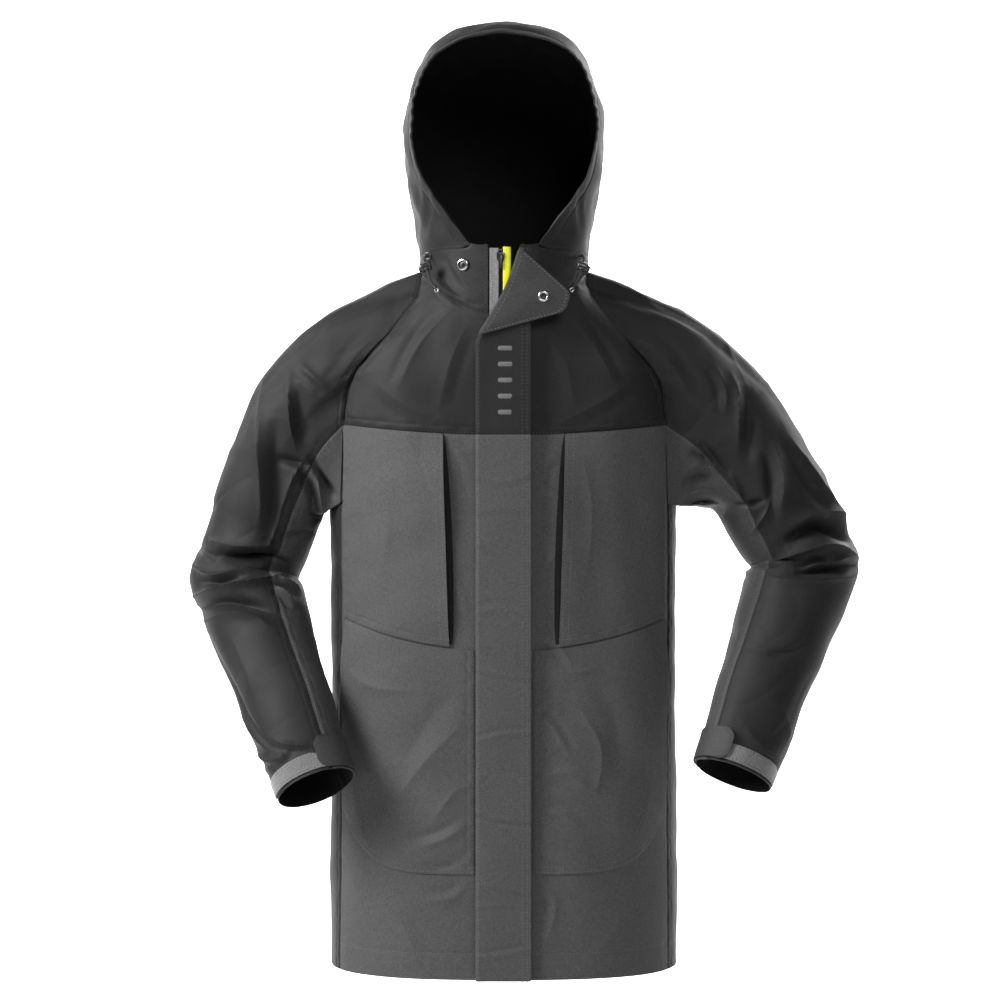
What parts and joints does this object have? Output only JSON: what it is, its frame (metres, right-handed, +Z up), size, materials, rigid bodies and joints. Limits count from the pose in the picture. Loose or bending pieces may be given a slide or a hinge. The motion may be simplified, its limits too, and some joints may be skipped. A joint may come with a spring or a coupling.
{
  "type": "foul weather jacket",
  "caption": "Hooded waterproof sailing jacket with a covered front zip, patch pockets, raglan sleeves and cuff tabs, shown as worn.",
  "frame": {"origin": "the wearer's neck base, in the middle of the collar", "axes": "+Z up, the front faces -Y, +X towards the wearer's left"},
  "size_m": [0.7771, 0.3159, 1.0888],
  "materials": {
    "shell_black": "tightly woven coated nylon, slight sheen",
    "shell_grey": "tightly woven coated nylon, matt",
    "shell_mid_grey": "tightly woven coated nylon, matt",
    "loop_tape": "napped loop tape",
    "hook_tape": "moulded hook tape",
    "zip_tape": "knitted tape",
    "zip_plastic": "moulded",
    "signal_yellow": "brushed tricot",
    "snap_metal": "satin nickel",
    "eyelet_metal": "gunmetal",
    "shock_cord": "braided elastic cord",
    "lock_plastic": "moulded, polished"
  },
  "bodies": {
    "jacket_body": {"back_panel": "shell_grey", "back_yoke": "shell_black", "chest_pocket_left": "shell_grey", "chest_pocket_right": "shell_grey", "chin_guard": "signal_yellow", "collar": "shell_black", "cord_eyelets": "eyelet_metal", "front_loop_patches": "loop_tape", "front_panel_left": "shell_grey", "front_panel_right": "shell_grey", "front_yoke_left": "shell_black", "front_yoke_right": "shell_black", "hanger_loop": "shell_black", "hood_cord_left": "shock_cord", "hood_cord_right": "shock_cord", "hood_lower": "shell_black", "inner_placket": "shell_black", "lower_pocket_left": "shell_grey", "lower_pocket_right": "shell_grey", "raglan_shoulder_left": "shell_black", "raglan_shoulder_right": "shell_black", "side_panel_left": "shell_black", "side_panel_right": "shell_black", "snap_stud": "snap_metal", "storm_flap_bend": "shell_black", "underarm_gusset_left": "shell_mid_grey", "underarm_gusset_right": "shell_mid_grey", "zip_tape_left": "zip_tape", "zip_tape_right": "zip_tape", "zip_teeth": "zip_plastic"},
    "hood": {"hood_brim": "shell_black", "hood_side_right": "shell_black", "hood_side_left": "shell_black", "hood_centre": "shell_black"},
    "zip_slider": {"zip_slider": "zip_plastic"},
    "zip_pull": {"zip_pull": "zip_plastic"},
    "storm_flap": {"storm_flap": "shell_grey", "flap_hook_patches": "hook_tape"},
    "flap_corner": {"flap_corner": "shell_black", "snap_socket": "snap_metal"},
    "upper_sleeve_right": {"upper_sleeve_right": "shell_black", "upper_under_sleeve_right": "shell_mid_grey", "elbow_section_right": "shell_black"},
    "forearm_right": {"forearm_sleeve_right": "shell_black", "forearm_under_sleeve_right": "shell_mid_grey", "cuff_loop_band_right": "loop_tape"},
    "cuff_tab_right": {"cuff_tab_right": "shell_black"},
    "cord_lock_right": {"cord_lock_right": "lock_plastic"},
    "cord_lock_button_right": {"cord_lock_button_right": "lock_plastic"},
    "upper_sleeve_left": {"upper_sleeve_left": "shell_black", "upper_under_sleeve_left": "shell_mid_grey", "elbow_section_left": "shell_black"},
    "forearm_left": {"forearm_sleeve_left": "shell_black", "forearm_under_sleeve_left": "shell_mid_grey", "cuff_loop_band_left": "loop_tape"},
    "cuff_tab_left": {"cuff_tab_left": "shell_black"},
    "cord_lock_left": {"cord_lock_left": "lock_plastic"},
    "cord_lock_button_left": {"cord_lock_button_left": "lock_plastic"}
  },
  "joints": [
    {"name": "hood_tilt", "type": "hinge", "parent": "jacket_body", "child": "hood", "pos_m": [0, 0.025, 0.06], "axis": [-1, 0, 0], "range_deg": [0, 50], "deforming": ["hood_lower"]},
    {"name": "zip_slide", "type": "slide", "parent": "jacket_body", "child": "zip_slider", "axis": [0, 0.0384, 0.9993], "range_m": [-0.755, 0]},
    {"name": "zip_pull_swing", "type": "hinge", "parent": "zip_slider", "child": "zip_pull", "pos_m": [-0.004, -0.11643, 0.03048], "axis": [-1, 0, 0], "range_deg": [0, 165]},
    {"name": "storm_flap_open", "type": "hinge", "parent": "jacket_body", "child": "storm_flap", "pos_m": [0.029, -0.13435, -0.39955], "axis": [0, 0.0384, 0.9993], "range_deg": [0, 150], "deforming": ["storm_flap_bend"]},
    {"name": "flap_corner_fold", "type": "hinge", "parent": "jacket_body", "child": "flap_corner", "pos_m": [-0.029, -0.12817, -0.06154], "axis": [-0.4289, -0.0347, -0.9027], "range_deg": [0, 192]},
    {"name": "shoulder_lift_right", "type": "hinge", "parent": "jacket_body", "child": "upper_sleeve_right", "pos_m": [-0.205, 0, -0.095], "axis": [0, 1, 0], "range_deg": [0, 35], "deforming": ["raglan_shoulder_right", "underarm_gusset_right"]},
    {"name": "elbow_straighten_right", "type": "hinge", "parent": "upper_sleeve_right", "child": "forearm_right", "pos_m": [-0.303, 0.005, -0.34], "axis": [0.7035, 0.6898, -0.1713], "range_deg": [0, 40], "deforming": ["elbow_section_right"]},
    {"name": "cuff_tab_peel_right", "type": "hinge", "parent": "forearm_right", "child": "cuff_tab_right", "pos_m": [-0.17212, -0.11612, -0.54204], "axis": [-0.2778, 0.5471, 0.7897], "range_deg": [0, 55]},
    {"name": "cord_lock_slide_right", "type": "slide", "parent": "jacket_body", "child": "cord_lock_right", "axis": [0.203, -0.6478, -0.7342], "range_m": [-0.0015, 0.009]},
    {"name": "lock_button_press_right", "type": "slide", "parent": "cord_lock_right", "child": "cord_lock_button_right", "axis": [0.9345, -0.0958, 0.3429], "range_m": [0, 0.0018], "stiffness_N_per_m": 400, "springref_m": -0.001},
    {"name": "shoulder_lift_left", "type": "hinge", "parent": "jacket_body", "child": "upper_sleeve_left", "pos_m": [0.205, 0, -0.095], "axis": [0, -1, 0], "range_deg": [0, 35], "deforming": ["raglan_shoulder_left", "underarm_gusset_left"]},
    {"name": "elbow_straighten_left", "type": "hinge", "parent": "upper_sleeve_left", "child": "forearm_left", "pos_m": [0.352, 0.005, -0.322], "axis": [0.4871, -0.8502, 0.1995], "range_deg": [0, 40], "deforming": ["elbow_section_left"]},
    {"name": "cuff_tab_peel_left", "type": "hinge", "parent": "forearm_left", "child": "cuff_tab_left", "pos_m": [0.22211, -0.07504, -0.53023], "axis": [-0.2912, -0.418, -0.8605], "range_deg": [0, 55]},
    {"name": "cord_lock_slide_left", "type": "slide", "parent": "jacket_body", "child": "cord_lock_left", "axis": [-0.203, -0.6478, -0.7342], "range_m": [-0.0015, 0.009]},
    {"name": "lock_button_press_left", "type": "slide", "parent": "cord_lock_left", "child": "cord_lock_button_left", "axis": [-0.9345, -0.0958, 0.3429], "range_m": [0, 0.0018], "stiffness_N_per_m": 400, "springref_m": -0.001}
  ]
}
